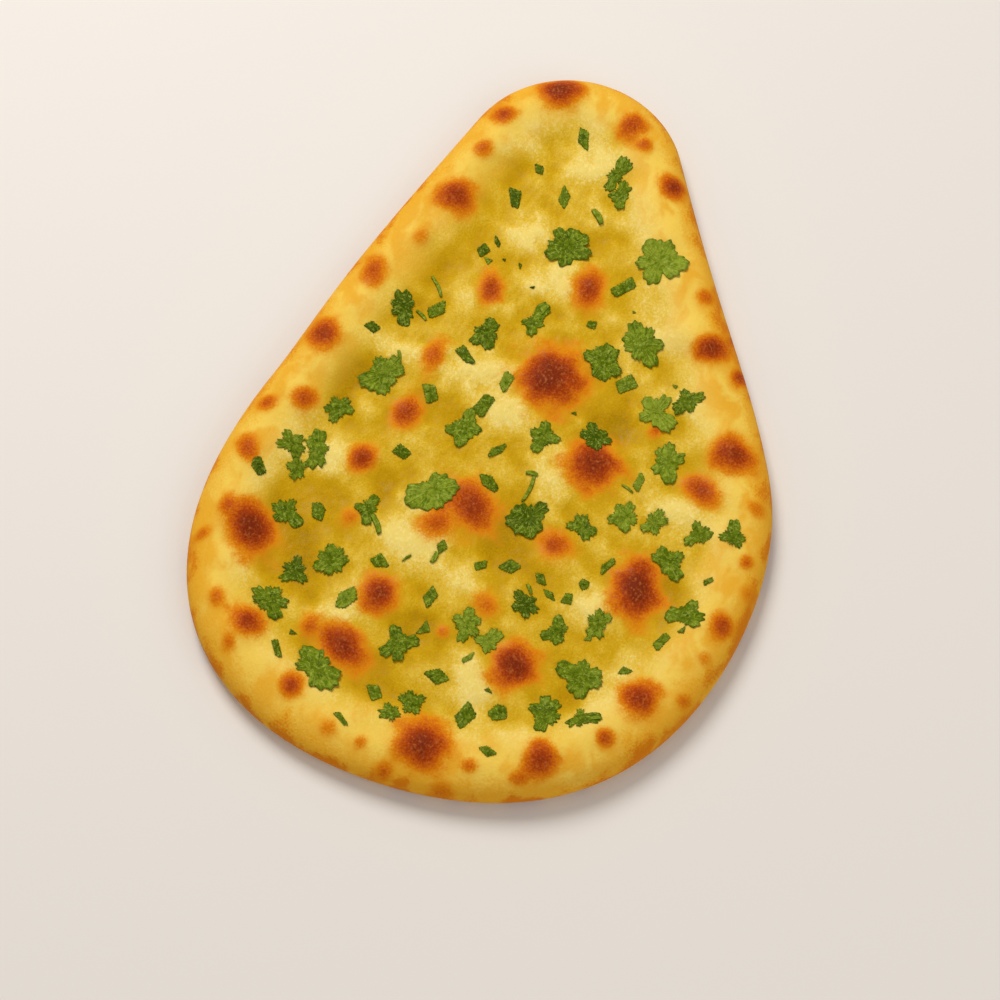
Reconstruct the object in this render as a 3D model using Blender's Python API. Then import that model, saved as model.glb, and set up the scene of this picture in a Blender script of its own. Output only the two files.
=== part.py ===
"""Naan bread: one leavened flatbread, pulled by hand into a teardrop, with a puffed rim.

Metres, +Z up. The bread lies on z = 0 with the middle of its footprint at the origin, and its
narrow end points along +Y. A bearing is an angle at the middle of the wide end, from +Y towards +X.
"""

import math

import bmesh
import bpy
import numpy as np

MM = 0.001

# Outline: a belt round two circles, one for each end, with slow waves left by the hands.
WIDE_RADIUS = 94.5 * MM
NARROW_RADIUS = 40.5 * MM
END_SPACING = 136.0 * MM
HAND_WAVES = (  # waves round the edge, height of a wave, bearing of one crest
    (2, 2.4 * MM, 45),
    (3, 1.0 * MM, -8),
    (4, 2.0 * MM, -33),
)

# Section through the rim. An inset is measured inwards from the outermost edge.
MIDDLE_THICKNESS = 9.0 * MM
RIM_THICKNESS = 13.6 * MM
EDGE_HEIGHT = 5.0 * MM
BASE_INSET = 6.5 * MM
CREST_INSET = 12.0 * MM
RIM_WIDTH = 30.0 * MM

# The rim is thicker in some places than in others: waves round the edge, height, bearing.
RIM_WAVES = (
    (3, 0.5 * MM, 20),
    (5, 0.5 * MM, -60),
    (9, 0.3 * MM, 110),
)

# Places on the top are in millimetres: x, y, half width, half length, turn in degrees, height.
# The height is that of the dough over, or under, the smooth middle.
SWELLS = (
    (6, 101, 9, 13, 73, 1.3),
    (-9, 68, 8, 12, 83, 1.0),
    (27, 76, 9, 13, 83, 1.2),
    (4, 52, 10, 8, 13, 1.0),
    (-24, 42, 8, 10, 13, 0.9),
    (-37, 13, 7, 14, 88, 1.1),
    (-10, 11, 8, 14, 88, 1.2),
    (0, -2, 8, 12, 93, 1.1),
    (50, 38, 10, 18, 93, 1.2),
    (66, 13, 8, 12, 83, 0.8),
    (19, -20, 10, 11, 13, 1.2),
    (61, -25, 10, 14, 73, 1.2),
    (-51, -30, 6, 14, 98, 1.0),
    (-22, -50, 11, 13, 13, 1.5),
    (-1, -67, 9, 12, 13, 1.1),
    (40, -63, 8, 14, 93, 1.4),
    (-37, -81, 9, 8, 13, 1.0),
    (9, -97, 9, 12, 13, 1.3),
    (51, -92, 10, 11, 13, 0.9),
)
HOLLOWS = (
    (-39, 47, 10, 19, 58, -1.5),
    (-49, 31, 9, 14, 63, -1.2),
    (-25, 88, 10, 14, 93, -1.3),
    (16, 71, 6, 19, 103, -0.8),
    (-56, 0, 10, 12, 13, -1.0),
    (-23, -7, 8, 14, 63, -1.1),
    (-60, -49, 14, 11, 13, -1.2),
    (-57, -68, 10, 14, 73, -1.1),
    (8, -46, 11, 12, 13, -1.6),
    (33, 3, 11, 13, 73, -1.0),
    (-34, -38, 8, 11, 13, -0.9),
    (-12, -80, 11, 9, 13, -1.1),
    (-21, -103, 11, 11, 13, -1.0),
    (33, -66, 8, 8, 13, -0.9),
    (65, -54, 9, 10, 13, -1.0),
    (37, -92, 8, 9, 13, -0.9),
)
BLISTERS = (
    (-10, 122, 10, 8, 13, 1.6),
    (-37, 74, 8, 8, 0, 1.7),
    (18, 114, 7, 7, 0, 1.2),
    (37, 93, 7, 7, 0, 1.4),
    (-57, 39, 7, 9, 3, 1.3),
    (-17, 43, 7, 7, 0, 1.4),
    (16, 50, 8, 9, 3, 1.6),
    (62, 35, 8, 8, 0, 1.7),
    (11, 14, 12, 12, 0, 2.4),
    (-67, 11, 8, 8, 0, 1.5),
    (-34, -9, 7, 8, 0, 1.4),
    (-67, -14, 7, 7, 0, 1.2),
    (-44, -29, 7, 7, 0, 1.5),
    (31, -14, 11, 11, 0, 2.2),
    (76, -2, 9, 8, -7, 1.7),
    (68, -16, 9, 7, -32, 1.5),
    (-5, -37, 11, 9, -37, 1.9),
    (-73, -62, 9, 11, 33, 2.0),
    (25, -45, 7, 7, 0, 1.4),
    (54, -54, 10, 13, 3, 2.3),
    (-27, -74, 8, 8, 0, 1.7),
    (8, -70, 7, 7, 0, 1.0),
    (-65, -94, 8, 8, 0, 1.4),
    (-34, -94, 11, 8, -32, 1.9),
    (21, -88, 10, 10, 0, 2.0),
    (62, -91, 8, 8, 0, 1.6),
    (-1, -119, 10, 10, 0, 2.0),
    (36, -116, 8, 8, 0, 1.5),
)

# How finely the surface is cut.
SECTORS = 128
UNDER_ROWS = 4
OUTER_ROWS = 7
INNER_ROWS = 6
MIDDLE_ROWS = 17
FINE_STEPS = 1440

CRUST_COLOUR = (0.80, 0.50, 0.13, 1.0)
CRUST_ROUGHNESS = 0.55


def waves(bearing, table):
    """The sum of cosine waves round the edge, each with its own count, height and crest."""
    return sum(height * np.cos(count * (bearing - math.radians(crest))) for count, height, crest in table)


def edge_reach(bearing):
    """Distance from the wide end's middle to the edge.

    It is the wide circle, then a straight side that touches both circles, then the narrow circle,
    with the hand waves added.
    """
    turn = np.abs(bearing)
    side_starts = math.acos((WIDE_RADIUS - NARROW_RADIUS) / END_SPACING)
    touch_x = NARROW_RADIUS * math.sin(side_starts)
    touch_y = END_SPACING + NARROW_RADIUS * math.cos(side_starts)
    side_ends = math.atan2(touch_x, touch_y)
    wide = np.full_like(turn, WIDE_RADIUS)
    side = WIDE_RADIUS / np.cos(np.minimum(turn - side_starts, 0.0))
    under_root = np.maximum(NARROW_RADIUS**2 - (END_SPACING * np.sin(turn)) ** 2, 0.0)
    narrow = END_SPACING * np.cos(turn) + np.sqrt(under_root)
    belt = np.where(turn > side_starts, wide, np.where(turn > side_ends, side, narrow))
    return belt + waves(bearing, HAND_WAVES)


def edge_line():
    """Bearings, points and outward normals of the edge, evenly spaced along it."""
    fine = np.linspace(-math.pi, math.pi, FINE_STEPS + 1)
    points = edge_reach(fine)[:, None] * np.stack([np.sin(fine), np.cos(fine)], axis=1)
    points -= (points.min(axis=0) + points.max(axis=0)) / 2
    travelled = np.concatenate([[0], np.cumsum(np.linalg.norm(np.diff(points, axis=0), axis=1))])
    evenly = np.linspace(0, travelled[-1], SECTORS, endpoint=False)
    tangent = np.roll(points[:-1], -1, axis=0) - np.roll(points[:-1], 1, axis=0)
    normal = np.stack([-tangent[:, 1], tangent[:, 0]], axis=1)
    normal /= np.linalg.norm(normal, axis=1)[:, None]
    normal = np.concatenate([normal, normal[:1]])
    bearing = np.interp(evenly, travelled, fine)
    edge = np.stack([np.interp(evenly, travelled, points[:, axis]) for axis in range(2)], axis=1)
    outward = np.stack([np.interp(evenly, travelled, normal[:, axis]) for axis in range(2)], axis=1)
    return bearing, edge, outward


def lumps(x, y, table):
    """The sum of soft bell-shaped lumps, each turned and stretched as its row says."""
    total = np.zeros_like(x)
    for place_x, place_y, half_width, half_length, turn, height in table:
        angle = math.radians(turn)
        along = (x - place_x * MM) * math.cos(angle) + (y - place_y * MM) * math.sin(angle)
        across = (y - place_y * MM) * math.cos(angle) - (x - place_x * MM) * math.sin(angle)
        away = (along / (half_width * MM)) ** 2 + (across / (half_length * MM)) ** 2
        total += height * MM * np.exp(-1.4 * away)
    return total


def rim_height(inset, crest):
    """Height of the plain top: a quarter ellipse up to the crest, then a soft slope to the middle."""
    outward = np.clip((CREST_INSET - inset) / CREST_INSET, 0, 1)
    outer = EDGE_HEIGHT + (crest - EDGE_HEIGHT) * np.sqrt(1 - outward**2)
    inward = np.clip((inset - CREST_INSET) / (RIM_WIDTH - CREST_INSET), 0, 1)
    inner = MIDDLE_THICKNESS + (crest - MIDDLE_THICKNESS) * (1 + np.cos(math.pi * inward)) / 2
    return np.where(inset < CREST_INSET, outer, inner)


def relief(places):
    """Height of the swells, hollows and blisters at these places."""
    return sum(lumps(places[:, 0], places[:, 1], table) for table in (SWELLS, HOLLOWS, BLISTERS))


def under_rings(edge, outward):
    """From the edge of the flat base, a quarter round up to the outermost edge."""
    for row in range(UNDER_ROWS):
        rise = math.pi / 2 * row / UNDER_ROWS
        places = edge - outward * BASE_INSET * (1 - math.sin(rise))
        yield places, np.full(SECTORS, EDGE_HEIGHT * (1 - math.cos(rise)))


def rim_rings(edge, outward, crest):
    """Over the rim, each ring a stated inset from the edge."""
    insets = [CREST_INSET * (1 - math.cos(math.pi / 2 * row / OUTER_ROWS)) for row in range(OUTER_ROWS)]
    insets += list(np.linspace(CREST_INSET, RIM_WIDTH, INNER_ROWS, endpoint=False))
    for inset in insets:
        places = edge - outward * inset
        shaped = min(inset / CREST_INSET, 1)
        yield places, rim_height(inset, crest) + shaped * relief(places)


def middle_rings(edge, outward):
    """Over the middle, each ring drawn in towards the middle of the footprint."""
    inner_edge = edge - outward * RIM_WIDTH
    for row in range(MIDDLE_ROWS):
        places = inner_edge * (1 - row / MIDDLE_ROWS)
        yield places, MIDDLE_THICKNESS + relief(places)


def bread_rings():
    """Rings of points from the edge of the flat base, round the rim and in over the top."""
    bearing, edge, outward = edge_line()
    crest = RIM_THICKNESS + waves(bearing, RIM_WAVES)
    rings = [*under_rings(edge, outward), *rim_rings(edge, outward, crest), *middle_rings(edge, outward)]
    return [np.column_stack(ring) for ring in rings]


def crust_material():
    material = bpy.data.materials.new("baked_crust")
    material.use_nodes = True
    shader = material.node_tree.nodes["Principled BSDF"]
    shader.inputs["Base Color"].default_value = CRUST_COLOUR
    shader.inputs["Roughness"].default_value = CRUST_ROUGHNESS
    shader.inputs["Metallic"].default_value = 0.0
    material.diffuse_color = CRUST_COLOUR
    return material


def bake_naan():
    """One closed body: a flat base, the rounded rim, and the top with its hollows and blisters."""
    rings = bread_rings()
    shape = bmesh.new()
    loops = [[shape.verts.new(point) for point in ring.tolist()] for ring in rings]
    shape.faces.new(loops[0])
    for lower, upper in zip(loops, loops[1:]):
        for here in range(SECTORS):
            after = (here + 1) % SECTORS
            shape.faces.new((lower[here], lower[after], upper[after], upper[here]))
    closing = shape.verts.new((0, 0, MIDDLE_THICKNESS + relief(np.zeros((1, 2)))[0]))
    for here in range(SECTORS):
        shape.faces.new((loops[-1][here], loops[-1][(here + 1) % SECTORS], closing))
    bmesh.ops.recalc_face_normals(shape, faces=shape.faces)

    mesh = bpy.data.meshes.new("naan")
    shape.to_mesh(mesh)
    shape.free()
    mesh.shade_smooth()
    mesh.materials.append(crust_material())
    naan = bpy.data.objects.new("naan", mesh)
    bpy.context.scene.collection.objects.link(naan)
    return naan


for old in list(bpy.data.objects):
    bpy.data.objects.remove(old)
bake_naan()
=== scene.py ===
import math

import bpy
import numpy as np
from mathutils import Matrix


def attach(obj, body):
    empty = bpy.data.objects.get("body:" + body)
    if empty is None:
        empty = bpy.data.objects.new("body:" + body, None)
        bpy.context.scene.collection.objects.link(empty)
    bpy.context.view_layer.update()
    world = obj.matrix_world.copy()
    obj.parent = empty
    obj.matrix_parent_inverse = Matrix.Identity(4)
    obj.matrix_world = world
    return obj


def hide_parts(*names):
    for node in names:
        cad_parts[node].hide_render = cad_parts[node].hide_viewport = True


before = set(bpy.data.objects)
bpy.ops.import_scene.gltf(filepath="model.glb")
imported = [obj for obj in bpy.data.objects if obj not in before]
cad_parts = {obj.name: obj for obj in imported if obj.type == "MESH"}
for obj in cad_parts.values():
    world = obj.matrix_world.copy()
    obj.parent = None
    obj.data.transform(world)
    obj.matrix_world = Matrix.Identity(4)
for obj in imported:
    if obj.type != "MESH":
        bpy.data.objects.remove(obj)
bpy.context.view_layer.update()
MM = 0.001

# ------------------------------------------------------------------------------------------------
# The dough. One piece of leavened dough, pulled by hand into a teardrop and slapped on a hot oven
# wall: the rim puffs up, the middle stays thin and lumpy, and bubbles of gas rise as blisters.

WIDE_RADIUS = 94.5 * MM
NARROW_RADIUS = 40.5 * MM
END_SPACING = 136.0 * MM
HAND_WAVES = ((2, 2.4 * MM, 45), (3, 1.0 * MM, -8), (4, 2.0 * MM, -33))

MIDDLE_THICKNESS = 9.0 * MM
RIM_THICKNESS = 13.6 * MM
EDGE_HEIGHT = 5.0 * MM
BASE_INSET = 6.5 * MM
CREST_INSET = 12.0 * MM
RIM_WIDTH = 30.0 * MM
RIM_WAVES = ((3, 0.5 * MM, 20), (5, 0.5 * MM, -60), (9, 0.3 * MM, 110))

# Places are in millimetres: x, y, half width, half length, turn in degrees, height.
SWELLS = (
    (6, 101, 9, 13, 73, 1.3),
    (-9, 68, 8, 12, 83, 1.0),
    (27, 76, 9, 13, 83, 1.2),
    (4, 52, 10, 8, 13, 1.0),
    (-24, 42, 8, 10, 13, 0.9),
    (-37, 13, 7, 14, 88, 1.1),
    (-10, 11, 8, 14, 88, 1.2),
    (0, -2, 8, 12, 93, 1.1),
    (50, 38, 10, 18, 93, 1.2),
    (66, 13, 8, 12, 83, 0.8),
    (19, -20, 10, 11, 13, 1.2),
    (61, -25, 10, 14, 73, 1.2),
    (-51, -30, 6, 14, 98, 1.0),
    (-22, -50, 11, 13, 13, 1.5),
    (-1, -67, 9, 12, 13, 1.1),
    (40, -63, 8, 14, 93, 1.4),
    (-37, -81, 9, 8, 13, 1.0),
    (9, -97, 9, 12, 13, 1.3),
    (51, -92, 10, 11, 13, 0.9),
)
HOLLOWS = (
    (-39, 47, 10, 19, 58, -1.0),
    (-49, 31, 9, 14, 63, -0.8),
    (-25, 88, 10, 14, 93, -1.0),
    (16, 71, 6, 19, 103, -0.8),
    (-56, 0, 10, 12, 13, -1.0),
    (-23, -7, 8, 14, 63, -1.1),
    (-60, -49, 14, 11, 13, -1.2),
    (-57, -68, 10, 14, 73, -1.1),
    (8, -46, 11, 12, 13, -1.6),
    (33, 3, 11, 13, 73, -1.0),
    (-34, -38, 8, 11, 13, -0.9),
    (-12, -80, 11, 9, 13, -1.1),
    (-21, -103, 11, 11, 13, -1.0),
    (33, -66, 8, 8, 13, -0.9),
    (65, -54, 9, 10, 13, -1.0),
    (37, -92, 8, 9, 13, -0.9),
)
# Blisters: x, y, radius of the browned core in millimetres, how brown, stretch, turn in degrees.
BLISTERS = (
    (-10, 124, 5.6, 0.95, 1.3, 13),
    (-28, 110, 3.7, 0.55, 1.0, 0),
    (-32, 95, 3.3, 0.40, 1.0, 0),
    (-37, 74, 5.6, 0.72, 1.0, 0),
    (18, 115, 4.6, 0.60, 1.2, 60),
    (24, 108, 2.7, 0.40, 1.0, 0),
    (37, 94, 4.0, 0.78, 1.0, 0),
    (-45, 56, 3.3, 0.25, 1.3, 60),
    (-58, 39, 4.6, 0.50, 1.3, 93),
    (-17, 43, 4.4, 0.60, 1.4, 93),
    (16, 50, 5.4, 0.66, 1.45, 93),
    (56, 54, 3.3, 0.40, 1.0, 0),
    (62, 35, 4.6, 0.80, 1.2, 20),
    (68, 42, 2.3, 0.40, 1.0, 0),
    (73, 28, 3.0, 0.60, 1.0, 0),
    (11, 14, 8.6, 1.00, 1.0, 0),
    (-68, 11, 5.0, 0.70, 1.0, 0),
    (-30, 13, 4.6, 0.42, 1.8, 83),
    (-34, -9, 4.8, 0.62, 1.4, 73),
    (-68, -14, 3.7, 0.50, 1.0, 0),
    (-80, -18, 3.0, 0.45, 1.2, 30),
    (-44, -29, 4.0, 0.68, 1.0, 0),
    (-81, -36, 4.0, 0.50, 1.5, 123),
    (31, -14, 7.0, 0.88, 1.0, 0),
    (49, 3, 2.3, 0.42, 1.3, 40),
    (76, -2, 5.6, 0.80, 1.2, -7),
    (68, -16, 4.6, 0.66, 1.5, -32),
    (87, -19, 3.0, 0.30, 1.0, 0),
    (-5, -37, 7.0, 0.68, 1.4, -37),
    (-14, -46, 5.4, 0.42, 1.3, 10),
    (-73, -62, 6.6, 0.90, 1.3, -57),
    (-82, -57, 3.0, 0.45, 1.0, 0),
    (-88, -68, 2.7, 0.35, 1.6, 43),
    (-43, -50, 3.0, 0.30, 1.0, 0),
    (25, -45, 4.6, 0.52, 1.0, 0),
    (54, -54, 7.0, 1.00, 1.4, 93),
    (87, -38, 2.3, 0.40, 1.0, 0),
    (90, -48, 3.3, 0.25, 1.0, 0),
    (-27, -74, 5.0, 0.82, 1.0, 0),
    (-77, -88, 3.0, 0.35, 1.3, 103),
    (8, -70, 4.0, 0.35, 1.0, 0),
    (-65, -94, 4.3, 0.70, 1.0, 0),
    (-69, -102, 2.7, 0.30, 1.3, 103),
    (83, -61, 3.7, 0.55, 1.2, 100),
    (-34, -94, 6.0, 0.82, 1.5, -32),
    (-46, -90, 3.3, 0.38, 1.0, 0),
    (21, -88, 6.0, 0.90, 1.1, 60),
    (-4, -82, 2.0, 0.35, 1.0, 0),
    (-46, -111, 3.3, 0.60, 1.0, 0),
    (62, -91, 5.0, 0.80, 1.0, 0),
    (54, -106, 2.7, 0.50, 1.0, 0),
    (-1, -120, 6.6, 0.88, 1.1, -30),
    (36, -117, 4.6, 0.70, 1.0, 0),
    (-20, -124, 2.3, 0.30, 1.0, 0),
    (-11, -131, 2.7, 0.35, 1.0, 0),
    (15, -124, 2.3, 0.35, 1.0, 0),
    (80, -73, 2.7, 0.25, 1.0, 0),
    (76, -88, 2.7, 0.30, 1.0, 0),
    (8, -133, 3.3, 0.30, 1.5, 13),
    (31, -124, 2.7, 0.35, 1.5, 23),
    (-31, -122, 3.0, 0.25, 1.0, 0),
)

SECTORS = 544
UNDER_ROWS = 26
ROUND_ROWS = 8
RIM_ROWS = 38
MIDDLE_ROWS = 108


def waves(bearing, table):
    """The sum of cosine waves round the edge, each with its own count, height and crest."""
    return sum(
        height * np.cos(count * (bearing - math.radians(crest)))
        for count, height, crest in table
    )


def edge_reach(bearing):
    """Distance from the wide end's middle to the edge: the wide circle, then a straight side that
    touches both circles, then the narrow circle, with the hand waves added."""
    turn = np.abs(bearing)
    side_starts = math.acos((WIDE_RADIUS - NARROW_RADIUS) / END_SPACING)
    touch_x = NARROW_RADIUS * math.sin(side_starts)
    touch_y = END_SPACING + NARROW_RADIUS * math.cos(side_starts)
    side_ends = math.atan2(touch_x, touch_y)
    side = WIDE_RADIUS / np.cos(np.minimum(turn - side_starts, 0.0))
    under_root = np.maximum(NARROW_RADIUS**2 - (END_SPACING * np.sin(turn)) ** 2, 0.0)
    narrow = END_SPACING * np.cos(turn) + np.sqrt(under_root)
    belt = np.where(turn > side_starts, WIDE_RADIUS, np.where(turn > side_ends, side, narrow))
    return belt + waves(bearing, HAND_WAVES)


def edge_line(count):
    """Bearings, points and outward normals at even steps along the edge. The points are the reach
    turned round the wide end's middle, moved so that their box is centred on the origin."""
    fine = np.linspace(-math.pi, math.pi, 2881)
    points = edge_reach(fine)[:, None] * np.stack([np.sin(fine), np.cos(fine)], axis=1)
    points -= (points.min(axis=0) + points.max(axis=0)) / 2
    travelled = np.concatenate([[0], np.cumsum(np.linalg.norm(np.diff(points, axis=0), axis=1))])
    evenly = np.linspace(0, travelled[-1], count, endpoint=False)
    tangent = np.roll(points[:-1], -1, axis=0) - np.roll(points[:-1], 1, axis=0)
    normal = np.stack([-tangent[:, 1], tangent[:, 0]], axis=1)
    normal /= np.linalg.norm(normal, axis=1)[:, None]
    normal = np.concatenate([normal, normal[:1]])
    edge = np.stack([np.interp(evenly, travelled, points[:, axis]) for axis in range(2)], axis=1)
    outward = np.stack([np.interp(evenly, travelled, normal[:, axis]) for axis in range(2)], axis=1)
    return np.interp(evenly, travelled, fine), edge, outward


def away_from(x, y, place_x, place_y, half_width, half_length, turn):
    """Distance from a place, counted in that place's own half widths and lengths."""
    angle = math.radians(turn)
    along = (x - place_x * MM) * math.cos(angle) + (y - place_y * MM) * math.sin(angle)
    across = (y - place_y * MM) * math.cos(angle) - (x - place_x * MM) * math.sin(angle)
    return np.hypot(along / (half_width * MM), across / (half_length * MM))


def lumps(x, y, table):
    """The sum of soft bell-shaped lumps, each turned and stretched as its row says."""
    total = np.zeros_like(x)
    for *place, height in table:
        total += height * MM * np.exp(-1.4 * away_from(x, y, *place) ** 2)
    return total


def ripples(x, y, shortest, longest, count, seed):
    """Uneven ground, about -1 to 1: many plane waves with seeded directions, lengths and starts."""
    draw = np.random.default_rng(seed)
    total = np.zeros_like(x)
    for _ in range(count):
        heading = draw.uniform(0, 2 * math.pi)
        pace = 2 * math.pi / (draw.uniform(shortest, longest) * MM)
        start = draw.uniform(0, 2 * math.pi)
        total += np.sin(pace * (x * math.cos(heading) + y * math.sin(heading)) + start)
    return total / math.sqrt(count / 2) / 2


def fade(value, low, high):
    """0 below low, 1 above high, and a smooth step between them."""
    part = np.clip((value - low) / (high - low), 0, 1)
    return part * part * (3 - 2 * part)


def blister_marks(x, y):
    """Browning, from 0 on pale dough to 1 on a scorched top, and the rise of the blisters.

    A blister is brown over its core and fades out through an orange ring. Its edge is drawn in and
    out by ripples, and its rise is a bell a little wider than its core.
    """
    ragged = 1 + 0.15 * ripples(x, y, 7, 16, 24, 5) + 0.05 * ripples(x, y, 2.5, 5, 24, 6)
    browning = np.zeros_like(x)
    rise = np.zeros_like(x)
    for place_x, place_y, core, brown, stretch, turn in BLISTERS:
        long, short = core * math.sqrt(stretch), core / math.sqrt(stretch)
        away = away_from(x, y, place_x, place_y, long, short, turn)
        brownness = brown * np.exp(-0.78 * (away * ragged) ** 2)
        browning = np.maximum(browning, brownness) + 0.5 * np.minimum(browning, brownness)
        rise += (0.5 + 0.25 * core * brown) * MM * np.exp(-0.8 * away**2)
    return np.clip(browning, 0, 1), rise


def rim_height(inset, crest):
    """Height of the plain top: a quarter ellipse up to the crest, then a soft slope to the middle."""
    outward = np.clip((CREST_INSET - inset) / CREST_INSET, 0, 1)
    outer = EDGE_HEIGHT + (crest - EDGE_HEIGHT) * np.sqrt(1 - outward**2)
    inward = np.clip((inset - CREST_INSET) / (RIM_WIDTH - CREST_INSET), 0, 1)
    inner = MIDDLE_THICKNESS + (crest - MIDDLE_THICKNESS) * (1 + np.cos(math.pi * inward)) / 2
    return np.where(inset < CREST_INSET, outer, inner)


def top_height(x, y, inset, crest):
    """Height, browning and relief of the top. The height is the plain rim and middle, the swells
    and hollows, the blisters, and the wrinkles of stretched dough, which are longer along the bread
    than across it. The relief is the height without the rim and the blisters."""
    browning, rise = blister_marks(x, y)
    relief = lumps(x, y, SWELLS) + lumps(x, y, HOLLOWS)
    relief += 0.36 * MM * ripples(x, y, 11, 24, 30, 11)
    wrinkled = fade(inset, 14 * MM, 30 * MM)
    relief += (0.08 + 0.14 * wrinkled) * MM * ripples(x, y * 0.7, 4, 9, 40, 12)
    relief += (0.03 + 0.05 * wrinkled) * MM * ripples(x, y * 0.7, 1.8, 3.6, 60, 13)
    height = rim_height(inset, crest) + np.clip(inset / CREST_INSET, 0, 1) * (relief + rise)
    return height, browning, relief


def closed_skins(name, rings, firsts, lasts):
    """One mesh of closed skins, from an array of skins, rows, points round a ring, and x, y, z.
    Squares join each ring to the next, and a fan to one point closes each end."""
    skins, rows, around = rings.shape[:3]
    points = np.concatenate([rings.reshape(skins, -1, 3), firsts[:, None], lasts[:, None]], axis=1)
    here = np.arange(around)
    after = np.roll(here, -1)
    low = (np.arange(rows - 1) * around)[:, None]
    quads = np.stack([low + here, low + after, low + around + after, low + around + here], axis=-1)
    first_fan = np.stack([after, here, np.full(around, rows * around)], axis=-1)
    top = (rows - 1) * around
    last_fan = np.stack([top + here, top + after, np.full(around, rows * around + 1)], axis=-1)
    corners = np.concatenate([quads.reshape(-1), first_fan.reshape(-1), last_fan.reshape(-1)])
    starts = np.arange(skins) * (rows * around + 2)
    corners = (corners + starts[:, None]).reshape(-1)
    sizes = np.tile(np.concatenate([np.full(quads.size // 4, 4), np.full(2 * around, 3)]), skins)
    mesh = bpy.data.meshes.new(name)
    mesh.vertices.add(points.size // 3)
    mesh.vertices.foreach_set("co", points.astype(np.float32).reshape(-1))
    mesh.loops.add(len(corners))
    mesh.loops.foreach_set("vertex_index", corners.astype(np.int32))
    mesh.polygons.add(len(sizes))
    mesh.polygons.foreach_set("loop_start", (np.cumsum(sizes) - sizes).astype(np.int32))
    mesh.update(calc_edges=True)
    mesh.validate()
    mesh.shade_smooth()
    return mesh


def paint(mesh, name, values):
    """Keeps one number for each point of the mesh, for its material to read."""
    mesh.attributes.new(name, "FLOAT", "POINT").data.foreach_set("value", values.astype(np.float32))


def place(name, mesh):
    piece = bpy.data.objects.new(name, mesh)
    bpy.context.scene.collection.objects.link(piece)
    return piece


def naan_surface():
    """The whole skin, as rings from the middle of the underside out, round the rim and in again."""
    bearing, edge, outward = edge_line(SECTORS)
    crest = RIM_THICKNESS + waves(bearing, RIM_WAVES)
    base_edge = edge - outward * BASE_INSET
    places, heights, insets = [], [], []
    for row in range(1, UNDER_ROWS):
        places.append(base_edge * row / UNDER_ROWS)
        heights.append(np.zeros(SECTORS))
        insets.append(np.full(SECTORS, RIM_WIDTH))
    for row in range(ROUND_ROWS):
        rise = math.pi / 2 * row / ROUND_ROWS
        places.append(edge - outward * BASE_INSET * (1 - math.sin(rise)))
        heights.append(np.full(SECTORS, EDGE_HEIGHT * (1 - math.cos(rise))))
        insets.append(np.zeros(SECTORS))
    steps = np.linspace(0, 1, RIM_ROWS, endpoint=False)
    rim_insets = RIM_WIDTH * (steps**1.6 * 0.55 + steps * 0.45)
    inner_edge = edge - outward * RIM_WIDTH
    top_places = [edge - outward * inset for inset in rim_insets]
    top_places += [inner_edge * (1 - row / MIDDLE_ROWS) for row in range(MIDDLE_ROWS)]
    top_insets = [np.full(SECTORS, inset) for inset in rim_insets]
    top_insets += [np.full(SECTORS, RIM_WIDTH)] * MIDDLE_ROWS
    top_places = np.array(top_places)
    top_insets = np.array(top_insets)
    top, browning, relief = top_height(top_places[..., 0], top_places[..., 1], top_insets, crest)
    under = len(places)
    rings = np.concatenate([
        np.dstack([np.array(places), np.array(heights)]),
        np.dstack([top_places, top]),
    ])
    top_middle = np.array([[0, 0, top[-1].mean()]])
    mesh = closed_skins("naan_bread", rings[None], np.zeros((1, 3)), top_middle)
    inset = np.concatenate([np.array(insets), top_insets])
    browned = np.concatenate([np.zeros((under, SECTORS)), browning])
    low = np.concatenate([np.zeros((under, SECTORS)), -relief])
    # Butter pooled in the hollows together with painted shade: high in the hollows, low on the swells
    # and near the rim.
    butter_and_shade = 0.42 + np.clip(low / (2.4 * MM), -0.5, 0.34) - (1 - fade(inset, 14 * MM, 27 * MM)) * 0.4
    butter_and_shade[:under] = 0
    paint(mesh, "browned", np.append(browned, [0, browned[-1].mean()]))
    paint(mesh, "butter_and_shade", np.append(butter_and_shade, [0, butter_and_shade[-1].mean()]))
    paint(mesh, "from_edge", np.append(inset, [RIM_WIDTH, RIM_WIDTH]) / RIM_WIDTH)
    paint(mesh, "underside", np.append(np.repeat(np.arange(len(rings)) < under, SECTORS), [1, 0]))
    return mesh


naan = place("naan_bread", naan_surface())


def linear(red, green, blue):
    """A colour as the eye names it, 0 to 255, turned into the light it gives back."""
    value = np.array([red, green, blue]) / 255
    light = np.where(value <= 0.04045, value / 12.92, ((value + 0.055) / 1.055) ** 2.4)
    return (*light.tolist(), 1.0)


CREAM_CRUST = linear(234, 206, 108)
PALE_CRUST = linear(220, 181, 54)
GOLDEN_CRUST = linear(201, 157, 16)
# The two darkest crust colours: butter in the hollows, darkened further by painted shade.
BUTTERY_SHADED_CRUST = linear(185, 139, 4)
DEEP_BUTTER_SHADE = linear(160, 121, 2)
# Cream flecks: fibres of stretched dough, partly painted glints.
CREAM_FLECK_AND_GLINT = linear(246, 224, 146)
RIM_PALE = linear(236, 196, 80)
RIM_GOLD = linear(228, 165, 40)
RIM_BROWN = linear(212, 124, 14)
TOAST_GOLD = linear(224, 152, 28)
TOAST_ORANGE = linear(216, 130, 12)
TOAST_RUST = linear(196, 94, 10)
TOAST_BROWN = linear(164, 62, 12)
TOAST_DARK = linear(122, 42, 14)
TOAST_GLINT = linear(226, 140, 70)


# Shine of buttered food, on the crust and the herbs alike.
COAT_ROUGHNESS = 0.3
SPECULAR_LEVEL = 0.03


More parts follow.
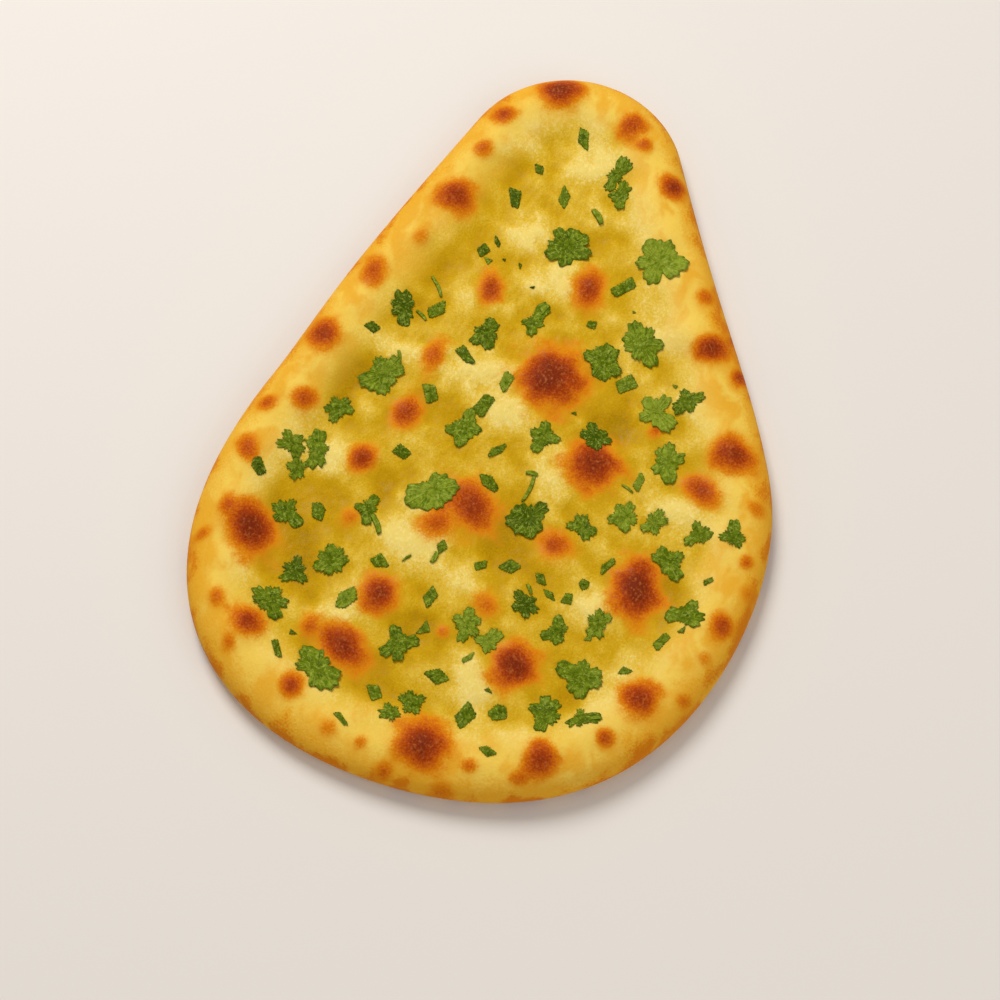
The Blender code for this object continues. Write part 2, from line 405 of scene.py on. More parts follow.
class Bench:
    """Builds a material's nodes: each call adds one node, sets it and gives back its output.

    An input is named by its number on the node, as in _0 for the first.
    """

    def __init__(self, tree):
        self.tree = tree

    def add(self, kind, output=0, settings=None, **inputs):
        node = self.tree.nodes.new("ShaderNode" + kind)
        for name, value in (settings or {}).items():
            setattr(node, name, value)
        for name, value in inputs.items():
            socket = node.inputs[int(name[1:])]
            if isinstance(value, bpy.types.NodeSocket):
                self.tree.links.new(value, socket)
            else:
                socket.default_value = value
        return node.outputs[output]

    def math(self, operation, first, second=0.0, third=0.0):
        settings = {"operation": operation}
        return self.add("Math", settings=settings, _0=first, _1=second, _2=third)

    def spread(self, value, low, high, to_low=0.0, to_high=1.0):
        """Value from low to high becomes to_low to to_high, smoothly, and stays there outside."""
        settings = {"interpolation_type": "SMOOTHSTEP"}
        ends = {"_1": low, "_2": high, "_3": to_low, "_4": to_high}
        return self.add("MapRange", settings=settings, _0=value, **ends)

    def blend(self, amount, first, second):
        settings = {"data_type": "RGBA", "clamp_factor": True}
        return self.add("Mix", output=2, settings=settings, _0=amount, _6=first, _7=second)

    def cloud(self, where, size, detail=3.0, stretch=(1, 1, 1), turn=0.0, warp=0.0):
        """Soft uneven noise, about 0.3 to 0.7, whose lumps are size metres across."""
        placed = self.add("Mapping", _0=where, _2=(0, 0, turn), _3=stretch)
        return self.add("TexNoise", _0=placed, _2=1 / size, _3=detail, _8=warp)

    def ramp(self, value, *stops):
        """A colour for each value, from stops of (value, colour)."""
        node = self.tree.nodes.new("ShaderNodeValToRGB")
        ramp = node.color_ramp
        while len(ramp.elements) < len(stops):
            ramp.elements.new(0.5)
        for element, (at, colour) in zip(ramp.elements, stops):
            element.position = at
            element.color = colour
        self.tree.links.new(value, node.inputs[0])
        return node.outputs[0]

    def attribute(self, name):
        return self.add("Attribute", output="Fac", settings={"attribute_name": name})


def new_material(name):
    material = bpy.data.materials.new(name)
    material.use_nodes = True
    return material, Bench(material.node_tree), material.node_tree.nodes["Principled BSDF"]


def butter_film():
    """Node group for melted butter on a surface: patches of thin film, glossier where it is thick.

    The gloss is uneven, and fine grain shows through the film wherever it is thin.
    """
    tree = bpy.data.node_groups.new("butter_film", "ShaderNodeTree")
    for name in ("Wetness", "Dry Roughness", "Grain"):
        tree.interface.new_socket(name, in_out="INPUT", socket_type="NodeSocketFloat")
    for name in ("Roughness", "Coat Weight", "Bump Height"):
        tree.interface.new_socket(name, in_out="OUTPUT", socket_type="NodeSocketFloat")
    bench = Bench(tree)
    given = tree.nodes.new("NodeGroupInput").outputs
    where = bench.add("TexCoord", output="Object")
    patches = bench.cloud(where, 0.005, 3.0, warp=0.5)
    fine = bench.cloud(where, 0.0007, 3.0)
    film = bench.math("MULTIPLY", given["Wetness"], bench.spread(patches, 0.38, 0.62))
    rough = bench.math("MULTIPLY_ADD", film, -0.22, given["Dry Roughness"])
    rough = bench.math("MULTIPLY_ADD", bench.math("SUBTRACT", fine, 0.5), 0.2, rough)
    coat = bench.math("MULTIPLY", film, bench.spread(fine, 0.50, 0.68, 0.02, 0.25))
    grain = bench.math("MULTIPLY", given["Grain"], fine)
    given_back = tree.nodes.new("NodeGroupOutput").inputs
    for name, value in (("Roughness", rough), ("Coat Weight", coat), ("Bump Height", grain)):
        tree.links.new(value, given_back[name])
    return tree


def crust_material(film_group):
    """Pale dough with cream flecks, golden where butter lies, and orange to dark brown where it
    scorched. The flecks are partly painted glints. The swells are lighter and the hollows darker,
    partly from butter and partly as painted light and shade. The rim bakes a plain gold that turns
    brown down its outer wall, partly baked browning and partly painted shade, and the underside
    has oven spots."""
    material, bench, shader = new_material("baked_crust")
    link = material.node_tree.links.new
    where = bench.add("TexCoord", output="Object")
    browned = bench.attribute("browned")
    butter_and_shade = bench.attribute("butter_and_shade")
    from_edge = bench.attribute("from_edge")
    underside = bench.attribute("underside")

    broad = bench.cloud(where, 0.022, 2.0)
    patchy = bench.cloud(where, 0.008, 3.0, stretch=(1, 0.7, 1), turn=0.25, warp=0.3)
    grainy = bench.cloud(where, 0.0007, 2.0)
    fibrous = bench.cloud(where, 0.0010, 3.0, stretch=(1, 0.7, 1), turn=0.5, warp=0.15)

    # Butter and painted shade: high in the hollows and round the blisters, low on the swells.
    pooled_and_shaded = bench.math("MULTIPLY_ADD", bench.math("SUBTRACT", broad, 0.5), 0.6, butter_and_shade)
    pooled_and_shaded = bench.math("MULTIPLY_ADD", bench.math("SUBTRACT", patchy, 0.5), 0.15, pooled_and_shaded)
    pooled_and_shaded = bench.math("MULTIPLY_ADD", browned, 0.9, pooled_and_shaded)
    speckled = bench.math("MULTIPLY_ADD", bench.math("SUBTRACT", grainy, 0.5), 0.5, pooled_and_shaded)
    dough = bench.ramp(
        speckled,
        (0.0, CREAM_CRUST),
        (0.25, PALE_CRUST),
        (0.5, GOLDEN_CRUST),
        (0.78, BUTTERY_SHADED_CRUST),
        (1.0, DEEP_BUTTER_SHADE),
    )
    # Cream flecks on the swells: fibres of stretched dough, partly painted glints.
    flecks_and_glints = bench.spread(fibrous, 0.48, 0.70, 0.0, 0.5)
    flecks_and_glints = bench.math("MULTIPLY", flecks_and_glints, bench.spread(pooled_and_shaded, 0.05, 0.5, 1.0, 0.0))
    dough = bench.blend(flecks_and_glints, dough, CREAM_FLECK_AND_GLINT)

    # Gold to brown towards the outer wall: partly baked browning and partly painted shade on the wall
    # where it turns downwards.
    edge_browning_and_shade = bench.math("MULTIPLY_ADD", bench.math("SUBTRACT", broad, 0.5), 0.5, from_edge)
    edge_browning_and_shade = bench.math("MULTIPLY_ADD", bench.math("SUBTRACT", patchy, 0.5), 0.45, edge_browning_and_shade)
    edge_browning_and_shade = bench.math("MULTIPLY_ADD", bench.math("SUBTRACT", grainy, 0.5), 0.25, edge_browning_and_shade)
    rim = bench.ramp(edge_browning_and_shade, (0.0, RIM_BROWN), (0.10, RIM_GOLD), (0.27, RIM_PALE))
    dough = bench.blend(bench.spread(from_edge, 0.30, 0.85, 1.0, 0.0), dough, rim)
    near_rim = bench.spread(from_edge, 0.3, 0.9, 1.0, 0.0)
    tanned = bench.math("MULTIPLY", bench.spread(patchy, 0.45, 0.64, 0.0, 0.85), near_rim)
    dough = bench.blend(tanned, dough, RIM_GOLD)

    grain = bench.math("MULTIPLY", bench.math("SUBTRACT", grainy, 0.5), 1.2)
    patch = bench.math("MULTIPLY", bench.math("SUBTRACT", patchy, 0.5), 0.5)
    toasted = bench.math("MULTIPLY_ADD", bench.math("ADD", grain, patch), browned, browned)
    toast = bench.ramp(
        toasted,
        (0.06, TOAST_GOLD),
        (0.22, TOAST_ORANGE),
        (0.38, TOAST_RUST),
        (0.58, TOAST_BROWN),
        (0.90, TOAST_DARK),
    )
    glints = bench.math("MULTIPLY", bench.spread(fibrous, 0.50, 0.72, 0.0, 0.35), browned)
    toast = bench.blend(glints, toast, TOAST_GLINT)
    colour = bench.blend(bench.spread(toasted, 0.01, 0.24), dough, toast)
    spotted = bench.spread(bench.cloud(where, 0.012, 3.0, warp=0.4), 0.48, 0.62, 0.0, 0.9)
    under = bench.blend(spotted, RIM_GOLD, TOAST_BROWN)
    colour = bench.blend(underside, colour, under)
    link(colour, shader.inputs["Base Color"])

    wet = bench.math("MULTIPLY", bench.spread(pooled_and_shaded, 0.0, 0.9, 0.25, 0.9),
                     bench.spread(browned, 0.1, 0.6, 1.0, 0.35))
    film = bench.add("Group", settings={"node_tree": film_group}, _0=wet, _1=0.62,
                     _2=bench.spread(browned, 0.2, 0.6, 0.35, 0.9)).node
    link(film.outputs["Roughness"], shader.inputs["Roughness"])
    link(film.outputs["Coat Weight"], shader.inputs["Coat Weight"])
    shader.inputs["Coat Roughness"].default_value = COAT_ROUGHNESS
    shader.inputs["Specular IOR Level"].default_value = SPECULAR_LEVEL
    shader.inputs["Subsurface Weight"].default_value = 0.15
    shader.inputs["Subsurface Radius"].default_value = (1.0, 0.6, 0.3)
    shader.inputs["Subsurface Scale"].default_value = 0.002

    fibre_height = bench.spread(pooled_and_shaded, 0.2, 0.9, 0.5, 0.2)
    rough = bench.math("MULTIPLY_ADD", fibrous, fibre_height, film.outputs["Bump Height"])
    bump = bench.add("Bump", _0=0.6, _1=0.0006, _3=rough)
    link(bump, shader.inputs["Normal"])
    return material


buttery = butter_film()
naan.data.materials.append(crust_material(buttery))
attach(naan, "root")
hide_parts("naan")

# ------------------------------------------------------------------------------------------------
# The herbs. Fresh coriander leaves, some whole and some chopped, with bits of stem, strewn on the
# hot buttered bread. They lie almost flat, with their edges lifting a little.

DARK, FRESH, PALE = 0.1, 0.45, 0.8

# Leaves: x, y in millimetres, shade, then each tip's direction in degrees and reach in millimetres.
LEAVES = (
    (16, 96, FRESH, (45, 6.5), (70, 2.5), (75, 7), (135, 2.5), (190, 3), (255, 6.5), (310, 3)),
    (19, 89, FRESH, (35, 4), (85, 5), (195, 4), (235, 3.5), (280, 6), (330, 3.5)),
    (5, 65, FRESH, (20, 5.5), (40, 8.5), (80, 7.5), (130, 7.5), (190, 6.5), (225, 8.5),
      (275, 8.5), (320, 6.5), (345, 9)),
    (38, 64, PALE, (0, 10), (40, 6.5), (75, 8), (100, 7.5), (130, 9.5), (185, 8), (240, 7.5),
      (260, 8.5), (320, 6), (325, 8.5)),
    (0, 34, FRESH, (65, 8), (200, 4), (275, 6), (340, 4)),
    (-15, 26, DARK, (50, 5.5), (80, 6), (175, 4), (235, 6.5), (265, 5), (295, 7), (340, 4.5)),
    (38, 33, FRESH, (5, 7.5), (75, 7), (120, 9), (165, 7), (205, 6), (260, 6), (310, 9)),
    (27, 24, FRESH, (60, 6.5), (90, 7), (125, 6), (170, 7.5), (250, 6.5), (280, 7), (330, 7)),
    (-45, 29, DARK, (45, 4.5), (85, 6), (120, 5.5), (175, 4), (235, 4.5), (290, 7.5), (320, 5)),
    (-45, 3, FRESH, (25, 7), (60, 7.5), (90, 5.5), (125, 6.5), (215, 9), (245, 8), (280, 8),
      (325, 5.5)),
    (-57, -13, FRESH, (5, 5.5), (55, 5), (125, 4), (205, 4.5), (265, 5.5), (305, 3.5)),
    (-14, -10, FRESH, (80, 7), (165, 4), (205, 6.5), (270, 7.5), (310, 5), (355, 6)),
    (-59, -30, FRESH, (35, 3.5), (105, 8), (140, 6), (255, 6.5), (295, 5.5)),
    (-68, -30, FRESH, (55, 4.5), (130, 5), (200, 5), (305, 5), (350, 4.5)),
    (-64, -37, FRESH, (40, 3), (120, 4), (185, 4), (255, 4.5), (300, 3.5)),
    (-19, -35, PALE, (20, 9), (50, 7.5), (85, 6.5), (160, 4.5), (195, 8.5), (225, 10), (265, 8),
      (305, 7.5), (350, 7.5)),
    (-64, -52, FRESH, (70, 4), (150, 4), (185, 5), (240, 5.5), (270, 4.5), (320, 7.5)),
    (-38, -46, FRESH, (5, 3), (70, 5.5), (120, 3), (180, 4.5), (280, 6), (305, 5)),
    (-45, -66, FRESH, (10, 5.5), (60, 5), (110, 5.5), (165, 5), (220, 6.5), (270, 5.5), (320, 5)),
    (-56, -72, DARK, (30, 3.5), (90, 5), (165, 4), (235, 5.5), (325, 5.5)),
    (-61, -84, FRESH, (0, 6), (65, 5), (110, 4.5), (160, 6), (200, 5), (250, 4.5), (305, 7.5)),
    (-40, -103, FRESH, (55, 5), (100, 6.5), (135, 8.5), (185, 6.5), (230, 4), (280, 7), (305, 8),
      (325, 9), (350, 8)),
    (-17, -89, FRESH, (25, 7), (75, 4), (115, 6.5), (190, 3.5), (225, 6.5), (285, 6)),
    (-8, -107, FRESH, (35, 4.5), (115, 4), (165, 4.5), (255, 4), (310, 4.5)),
    (-13, -112, FRESH, (65, 2.5), (135, 4), (190, 4), (215, 4), (285, 3), (350, 3)),
    (48, 10, PALE, (25, 2.5), (65, 6.5), (145, 6.5), (220, 6.5), (280, 6), (310, 8.5), (330, 8)),
    (57, 15, FRESH, (25, 6), (115, 4.5), (215, 5), (240, 5.5), (305, 4.5)),
    (13, -8, FRESH, (0, 5.5), (95, 6), (165, 5), (250, 6.5)),
    (30, -4, DARK, (45, 4.5), (120, 6), (175, 5.5), (240, 4.5), (285, 5), (355, 5.5)),
    (55, -7, PALE, (25, 6), (95, 6.5), (140, 5.5), (235, 6.5), (285, 8.5)),
    (14, -37, DARK, (20, 5.5), (45, 7.5), (135, 5.5), (165, 6), (205, 7.5), (245, 7), (290, 7.5),
      (325, 6.5)),
    (45, -30, PALE, (20, 4), (75, 5.5), (130, 5), (205, 5.5), (245, 4), (285, 5.5), (345, 4.5)),
    (55, -30, PALE, (25, 4.5), (75, 5), (125, 3.5), (220, 5), (290, 4)),
    (32, -36, FRESH, (80, 4), (125, 4), (195, 5), (300, 5.5), (340, 5.5)),
    (70, -31, FRESH, (0, 4.5), (40, 3.5), (115, 4.5), (225, 5.5), (315, 3.5)),
    (81, -31, FRESH, (10, 4), (95, 6.5), (185, 4.5), (265, 2.5), (320, 4)),
    (62, -42, FRESH, (40, 5.5), (130, 5.5), (175, 5.5), (265, 4.5), (305, 3.5), (310, 7.5)),
    (20, -67, DARK, (50, 4), (100, 3.5), (135, 5.5), (205, 4.5), (285, 4.5), (345, 4.5)),
    (71, -60, FRESH, (0, 6), (70, 6), (165, 6), (190, 6.5), (295, 3.5), (325, 5.5)),
    (32, -74, FRESH, (50, 4), (95, 6), (205, 5.5), (275, 4), (310, 3.5)),
    (44, -68, PALE, (40, 5), (90, 4.5), (160, 3.5), (245, 5), (290, 5), (340, 3)),
    (3, -78, PALE, (35, 5), (90, 6), (155, 5), (200, 3.5), (265, 6), (330, 5)),
    (11, -82, PALE, (45, 5.5), (70, 5), (175, 4.5), (275, 4), (330, 3.5)),
    (43, -87, FRESH, (30, 6.5), (95, 6), (130, 5), (165, 9), (235, 6), (275, 7), (350, 6.5)),
    (34, -101, FRESH, (55, 6), (100, 6), (165, 5.5), (265, 7), (315, 5), (350, 5)),
    (45, -101, FRESH, (10, 6.5), (30, 3), (95, 3.5), (220, 4.5), (280, 3), (345, 3.5)),
)
# Chopped pieces: x, y, length, width in millimetres, turn in degrees, corners, shade.
CHOPPED = (
    (2, 108, 9.5, 4, 105, 4, FRESH),
    (-11, 93, 5.5, 3.5, 125, 4, DARK),
    (-17, 80, 9.5, 4.5, 110, 4, DARK),
    (0, 84, 10, 4, 95, 4, FRESH),
    (28, 53, 10, 5.5, 55, 4, FRESH),
    (-23, 57, 6, 4.5, 70, 4, DARK),
    (-20, 53, 3.5, 2.5, 135, 3, PALE),
    (-19, 61, 5.5, 2, 115, 4, DARK),
    (20, 37, 4, 3.5, 20, 4, FRESH),
    (36, 17, 7, 5, 35, 4, FRESH),
    (-33, 31, 9, 6, 65, 4, FRESH),
    (-52, 18, 5.5, 4, 170, 4, DARK),
    (-20, 16, 9, 4, 140, 4, DARK),
    (-28, 0, 7.5, 4.5, 120, 4, FRESH),
    (-32, -24, 6.5, 6, 25, 4, DARK),
    (-76, -41, 6.5, 4.5, 115, 5, DARK),
    (-54, -50, 7.5, 5, 120, 5, FRESH),
    (-30, -63, 7, 5, 160, 4, FRESH),
    (-21, -60, 4.5, 1, 45, 4, FRESH),
    (-11, -54, 5, 3.5, 65, 4, FRESH),
    (-37, -78, 9.5, 6, 65, 5, PALE),
    (-11, -71, 8, 4, 70, 4, FRESH),
    (-51, -93, 2.5, 2, 0, 3, FRESH),
    (-54, -100, 7, 2.5, 125, 4, FRESH),
    (-10, -82, 6, 3.5, 65, 3, FRESH),
    (6, -89, 5.5, 2, 50, 4, PALE),
    (-2, -97, 9, 5.5, 175, 4, FRESH),
    (-20, -106, 6, 4, 125, 4, FRESH),
    (-28, -118, 6.5, 2, 140, 4, FRESH),
    (10, -108, 9.5, 5.5, 65, 4, FRESH),
    (-4, 9, 8, 4, 80, 4, PALE),
    (-9, -1, 8.5, 5.5, 75, 4, FRESH),
    (-1, -16, 8.5, 3.5, 50, 4, FRESH),
    (-1, -28, 8.5, 4.5, 140, 5, FRESH),
    (47, -17, 7.5, 3, 80, 4, PALE),
    (12, -55, 8, 5.5, 10, 4, FRESH),
    (43, -48, 7.5, 2.5, 55, 4, FRESH),
    (23, -57, 5.5, 3, 120, 4, FRESH),
    (27, -62, 6, 2.5, 140, 4, FRESH),
    (33, -62, 5, 4.5, 35, 4, FRESH),
    (37, -56, 3.5, 4, 170, 5, FRESH),
    (76, -47, 4, 2, 45, 4, FRESH),
    (65, -70, 7, 3.5, 65, 4, FRESH),
    (3, -57, 5.5, 3.5, 50, 4, FRESH),
    (56, -82, 5, 3, 20, 4, FRESH),
    (20, -104, 6.5, 5.5, 30, 5, FRESH),
    (19, -118, 6.5, 3.5, 170, 4, FRESH),
    (15, -98, 3, 1.5, 165, 3, FRESH),
    (21, 3, 2, 1.5, 155, 3, FRESH),
    (52, 20, 2, 1.5, 155, 3, PALE),
    (-9, 54, 3, 1, 110, 3, DARK),
    (-15, 55, 1.5, 1, 140, 3, FRESH),
    (-3, 46, 2, 1, 30, 3, FRESH),
    (33, 45, 1.5, 1, 175, 3, PALE),
    (42, -73, 4.5, 2, 60, 3, PALE),
    (71, -65, 3.5, 2, 60, 3, FRESH),
    (20, -61, 3, 1, 120, 3, FRESH),
)
# Bits of stem: from x, y to x, y, and width, in millimetres.
STEMS = (
    (11, 81, 15, 76, 2.3),
    (-38, 43, -33, 36, 1.3),
    (-40, 29, -36, 26, 1.3),
    (-36, -48, -32, -54, 2.0),
    (-12, -56, -13, -60, 1.7),
    (13, -22, 11, -32, 1.3),
    (10, -22, 14, -22, 1.7),
    (42, -19, 46, -21, 1.0),
    (19, -60, 21, -63, 1.3),
    (48, -101, 52, -100, 1.3),
    (-42, 12, -41, 8, 1.3),
    (2, 37, 4, 41, 1.7),
)

LEAF_SECTORS = 120
LEAF_ROWS = 7
LEAF_UNDER_ROWS = 2
LEAF_THICKNESS = 0.30 * MM
LEAF_GAP = 0.12 * MM
# Edges of whole and of chopped leaves: steepness of a lobe, notch, rounding, height of a tooth.
LEAF_EDGE = (3.2, 0.34, 1, 0.5 * MM)
CUT_EDGE = (60.0, 0.0, 10, 0.225 * MM)
STEM_ROWS = 9
STEM_SECTORS = 8


def bread_height(x, y):
    """Height of the bread's top under any point, from its distance to the nearest of the edge."""
    bearing, edge, _ = edge_line(SECTORS)
    crest = RIM_THICKNESS + waves(bearing, RIM_WAVES)
    gaps = np.hypot(x[..., None] - edge[:, 0], y[..., None] - edge[:, 1])
    nearest = gaps.argmin(axis=-1)
    return top_height(x, y, gaps.min(axis=-1), crest[nearest])[0]


def leaf_reach(angle, tips, steepness, notch, rounding, tooth):
    """Reach of a leaf's edge at each angle, in metres.

    Straight lines join each tip to the next, drawn in by the notch, and less where tips are far
    apart. A blunt lobe round each tip falls off with the cube of the angle from it. The edge is
    the outer of the two, averaged with its neighbours as often as the rounding says.
    """
    directions = np.radians([tip[0] for tip in tips])
    reaches = np.array([tip[1] for tip in tips]) * MM
    before = np.searchsorted(directions, angle + 1e-6) - 1
    after = (before + 1) % len(tips)
    gap = (directions[after] - directions[before]) % (2 * math.pi)
    here = (angle - directions[before]) % (2 * math.pi)
    low, high = reaches[before], reaches[after]
    line = low * high * np.sin(gap) / (low * np.sin(here) + high * np.sin(gap - here))
    line *= 1 - notch * np.clip(1.7 - gap, 0.25, 1)
    off_tip = (angle[:, None] - directions + math.pi) % (2 * math.pi) - math.pi
    lobes = (reaches * (1 - steepness * np.abs(off_tip) ** 3)).max(axis=1)
    reach = np.maximum(line, lobes)
    for _ in range(rounding):
        reach = (np.roll(reach, 1) + reach + np.roll(reach, -1)) / 3
    return reach + tooth


def cut_corners(length, width, turn, corners, draw):
    """Tips of a chopped piece: uneven points round an oval, stretched to its length and width."""
    first = draw.uniform(0, 0.5)
    steps = (np.arange(corners) + first + draw.uniform(-0.22, 0.22, corners)) * 2 * math.pi / corners
    scale = draw.uniform(0.7, 1.1, corners)
    ahead, aside = scale * np.cos(steps), scale * np.sin(steps)
    ahead, aside = ahead * length / np.ptp(ahead), aside * width / np.ptp(aside)
    directions = (np.degrees(np.arctan2(aside, ahead)) + turn) % 360
    return sorted(zip(directions, np.hypot(ahead, aside)))


def leaf_skins(name, rows):
    """Thin closed skins over the bread, one for each row of x, y, shade and leaf_reach's values.

    A leaf's top is rings from its middle out to its edge. It follows the bread, a gap above it, and
    its edge curls up in a slow wave. The underside is the same, one leaf thickness lower.
    """
    draw = np.random.default_rng(21)
    angle = np.linspace(0, 2 * math.pi, LEAF_SECTORS, endpoint=False)
    parts = np.concatenate([
        np.linspace(0, 1, LEAF_UNDER_ROWS + 1)[1:],
        np.linspace(1, 0, LEAF_ROWS, endpoint=False),
    ])[:, None]
    on_top = (np.arange(len(parts)) >= LEAF_UNDER_ROWS)[:, None]
    skins, shades, streaks, edges = [], [], [], []
    for x, y, shade, tips, steepness, notch, rounding, tooth in rows:
        saw = np.sin(angle * draw.uniform(15, 22) + 2.5 * np.sin(angle * 2 + draw.uniform(0, 7)))
        saw *= draw.uniform(0.2, 1.2, LEAF_SECTORS // 6).repeat(6)
        saw += draw.uniform(-0.3, 0.3, LEAF_SECTORS)
        reach = leaf_reach(angle, tips, steepness, notch, rounding, tooth * saw)
        away = parts * reach
        lift = np.cos(2 * angle - draw.uniform(0, 7)) + 0.6 * np.cos(3 * angle - draw.uniform(0, 7))
        curl = (0.035 + 0.025 * lift) * away * parts * draw.uniform(0.6, 1.6)
        crease = 0.04 * MM * np.cos(9 * angle - draw.uniform(0, 7)) * parts
        thick = LEAF_THICKNESS * np.sqrt(1 - 0.9 * parts**2) * on_top
        skins.append(np.dstack([x * MM + away * np.cos(angle), y * MM + away * np.sin(angle),
                                LEAF_GAP + curl + crease + thick]))
        streak = draw.uniform(0, 1, LEAF_SECTORS)
        for direction, _ in tips:
            streak[round(direction / 360 * LEAF_SECTORS) % LEAF_SECTORS] = 1.6
        shades.append(np.full(away.shape, shade + draw.uniform(-0.12, 0.12)))
        streaks.append(streak * np.minimum(parts * 3, 1))
        edges.append(np.broadcast_to(parts, away.shape))
    skins = np.array(skins)
    skins[..., 2] += bread_height(skins[..., 0], skins[..., 1])
    firsts = skins[:, 0].mean(axis=1)
    lasts = skins[:, -1].mean(axis=1)
    mesh = closed_skins(name, skins, firsts, lasts)
    marks = (("paleness", shades, None), ("streak", streaks, 0.5), ("to_edge", edges, 0))
    for key, values, ends in marks:
        values = np.array(values).reshape(len(rows), -1)
        closing = values[:, -1:] if ends is None else np.full((len(rows), 1), ends)
        paint(mesh, key, np.concatenate([values, closing, closing], axis=1).reshape(-1))
    return mesh


def stem_skins(name, rows):
    """Cut stems: flattened tubes, each a straight line that sags onto the bread, thinner at its ends."""
    along = np.linspace(0, 1, STEM_ROWS)[:, None]
    around = np.linspace(0, 2 * math.pi, STEM_SECTORS, endpoint=False)
    skins = []
    for from_x, from_y, to_x, to_y, width in rows:
        length = math.hypot(to_x - from_x, to_y - from_y)
        side = np.array([from_y - to_y, to_x - from_x]) / length
        bow = 0.06 * length * np.sin(math.pi * along)
        half = width / 2 * (0.75 + 0.25 * np.sin(math.pi * along))
        across = bow + half * np.cos(around)
        skins.append(np.dstack([
            (from_x + (to_x - from_x) * along + side[0] * across) * MM,
            (from_y + (to_y - from_y) * along + side[1] * across) * MM,
            0.45 * (1 + np.sin(around)) * half * MM,
        ]))
    skins = np.array(skins)
    skins[..., 2] += bread_height(skins[..., 0], skins[..., 1]) + LEAF_GAP
    mesh = closed_skins(name, skins, skins[:, 0].mean(axis=1), skins[:, -1].mean(axis=1))
    paint(mesh, "paleness", np.full(len(mesh.vertices), 0.7))
    paint(mesh, "streak", np.arange(len(mesh.vertices)) % 2)
    paint(mesh, "to_edge", np.full(len(mesh.vertices), 0.3))
    return mesh


LEAF_DARK = linear(66, 84, 2)
LEAF_FRESH = linear(98, 116, 8)
LEAF_PALE = linear(136, 150, 38)
LEAF_VEIN = linear(170, 182, 72)
# Painted shade for the leaves' edges.
LEAF_EDGE_SHADE = linear(56, 72, 2)


def herb_material(film_group):
    """Leaf green by shade, with pale veins and fine streaks out to the tips, and painted shade
    darkening the edge.
    """
    material, bench, shader = new_material("coriander_leaf")
    link = material.node_tree.links.new
    where = bench.add("TexCoord", output="Object")
    paleness = bench.attribute("paleness")
    streak = bench.attribute("streak")
    to_edge = bench.attribute("to_edge")
    mottled = bench.cloud(where, 0.0016, 3.0, warp=0.8)
    shade = bench.math("MULTIPLY_ADD", bench.math("SUBTRACT", mottled, 0.5), 2.2, paleness)
    green = bench.ramp(shade, (0.0, LEAF_DARK), (0.5, LEAF_FRESH), (1.0, LEAF_PALE))
    green = bench.blend(bench.spread(streak, 0.5, 1.5, 0.0, 0.35), green, LEAF_VEIN)
    crinkled = bench.cloud(where, 0.0008, 3.0, warp=0.8)
    green = bench.blend(bench.spread(crinkled, 0.53, 0.66, 0.0, 0.55), green, LEAF_VEIN)
    # Painted shade darkens each leaf towards its edge.
    painted_edge_shade = bench.spread(to_edge, 0.84, 1.0, 0.0, 0.35)
    green = bench.blend(painted_edge_shade, green, LEAF_EDGE_SHADE)
    link(green, shader.inputs["Base Color"])
    film = bench.add("Group", settings={"node_tree": film_group}, _0=0.35, _1=0.6, _2=0.3).node
    link(film.outputs["Roughness"], shader.inputs["Roughness"])
    link(film.outputs["Coat Weight"], shader.inputs["Coat Weight"])
    shader.inputs["Coat Roughness"].default_value = COAT_ROUGHNESS
    shader.inputs["Specular IOR Level"].default_value = SPECULAR_LEVEL
    creased = bench.math("ADD", bench.math("ADD", streak, crinkled), film.outputs["Bump Height"])
    bump = bench.add("Bump", _0=0.6, _1=0.0004, _3=creased)
    link(bump, shader.inputs["Normal"])
    return material


draw = np.random.default_rng(8)
whole_leaves = place("coriander_leaves", leaf_skins(
    "coriander_leaves",
    [(x, y, shade, tips, *LEAF_EDGE) for x, y, shade, *tips in LEAVES],
))
chopped_leaves = place("coriander_pieces", leaf_skins(
    "coriander_pieces",
    [
        (x, y, shade, cut_corners(length, width, turn, corners, draw), *CUT_EDGE)
        for x, y, length, width, turn, corners, shade in CHOPPED
    ],
))
stems = place("coriander_stems", stem_skins("coriander_stems", STEMS))
leaf_green = herb_material(buttery)
for herb in (whole_leaves, chopped_leaves, stems):
    herb.data.materials.append(leaf_green)
    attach(herb, "root")

# ------------------------------------------------------------------------------------------------
# The table: a plain pale top that the bread lies on.

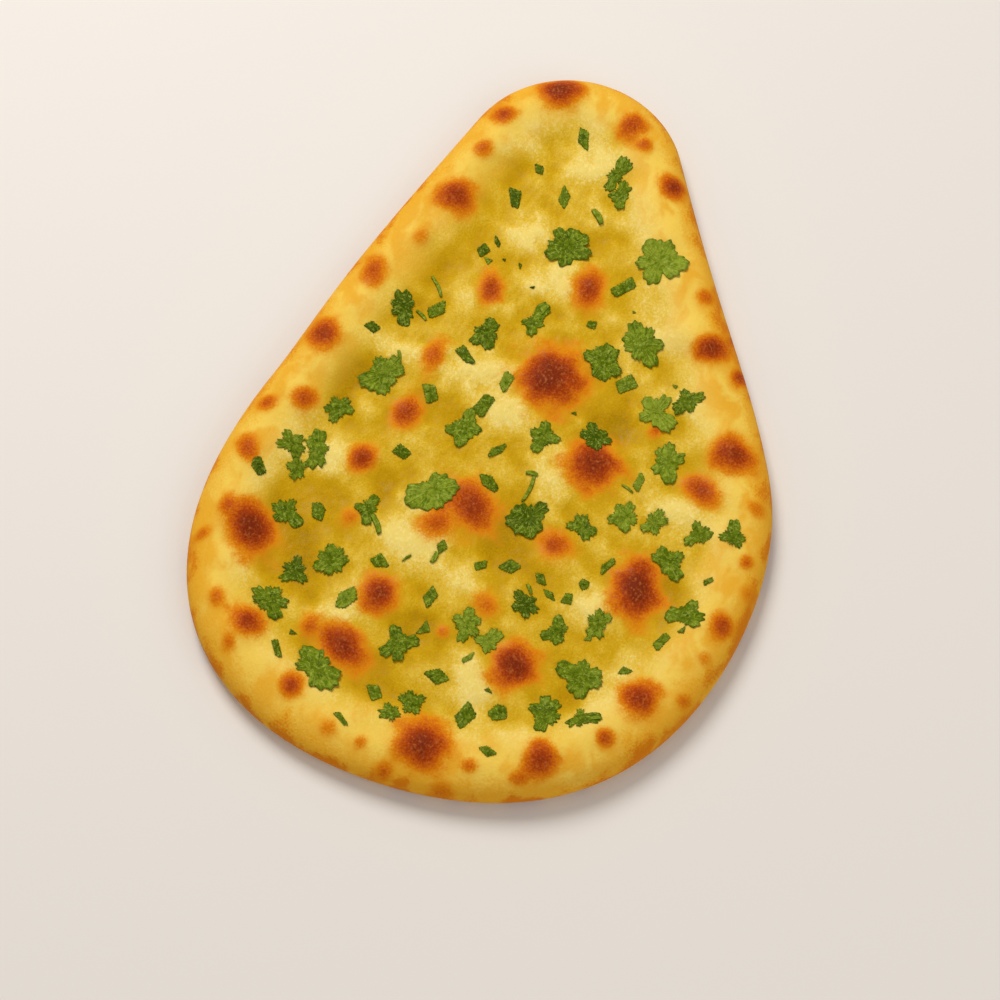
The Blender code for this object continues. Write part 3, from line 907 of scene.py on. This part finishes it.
floor_mesh = bpy.data.meshes.new("table_top")
floor_mesh.from_pydata([(-3, -3, 0), (3, -3, 0), (3, 3, 0), (-3, 3, 0)], [], [(0, 1, 2, 3)])
floor = place("table_top", floor_mesh)
floor_material, bench, floor_shader = new_material("pale_table")
floor_shader.inputs["Base Color"].default_value = linear(228, 220, 210)
floor_shader.inputs["Roughness"].default_value = 0.7
floor.data.materials.append(floor_material)

# ------------------------------------------------------------------------------------------------
# The studio: one broad soft lamp high on the left, a weak one opposite, and even light all round.


def aim(thing, target):
    """Turns a lamp or a camera so that it looks at a point."""
    from_here = target - np.array(thing.location)
    yaw = math.atan2(from_here[1], from_here[0]) - math.pi / 2
    pitch = math.atan2(from_here[2], math.hypot(from_here[0], from_here[1]))
    thing.rotation_euler = (math.pi / 2 + pitch, 0, yaw)


def soft_lamp(name, place_at, width, power):
    lamp = bpy.data.lights.new(name, "AREA")
    lamp.shape = "DISK"
    lamp.size = width
    lamp.energy = power
    holder = bpy.data.objects.new(name, lamp)
    holder.location = place_at
    bpy.context.scene.collection.objects.link(holder)
    aim(holder, np.zeros(3))


soft_lamp("key_lamp", (-0.55, 0.75, 1.15), 0.7, 15.5)
soft_lamp("fill_lamp", (0.9, -0.6, 0.9), 1.0, 3.5)
world = bpy.data.worlds.new("studio")
world.use_nodes = True
world.node_tree.nodes["Background"].inputs["Color"].default_value = (1, 1, 1, 1)
world.node_tree.nodes["Background"].inputs["Strength"].default_value = 0.42
bpy.context.scene.world = world
bpy.context.scene.view_settings.view_transform = "Standard"

# The camera looks down steeply from the wide end, a little to its right.
ELEVATION = math.radians(68)
AZIMUTH = math.radians(13)
DISTANCE = 0.6456
LOOKED_AT = np.array([0.0035, -0.0320, 0.006])
lens = bpy.data.cameras.new("camera")
lens.lens = 70
camera = bpy.data.objects.new("camera", lens)
backward = np.array([
    math.sin(AZIMUTH) * math.cos(ELEVATION),
    -math.cos(AZIMUTH) * math.cos(ELEVATION),
    math.sin(ELEVATION),
])
camera.location = LOOKED_AT + DISTANCE * backward
bpy.context.scene.collection.objects.link(camera)
aim(camera, LOOKED_AT)
bpy.context.scene.camera = camera
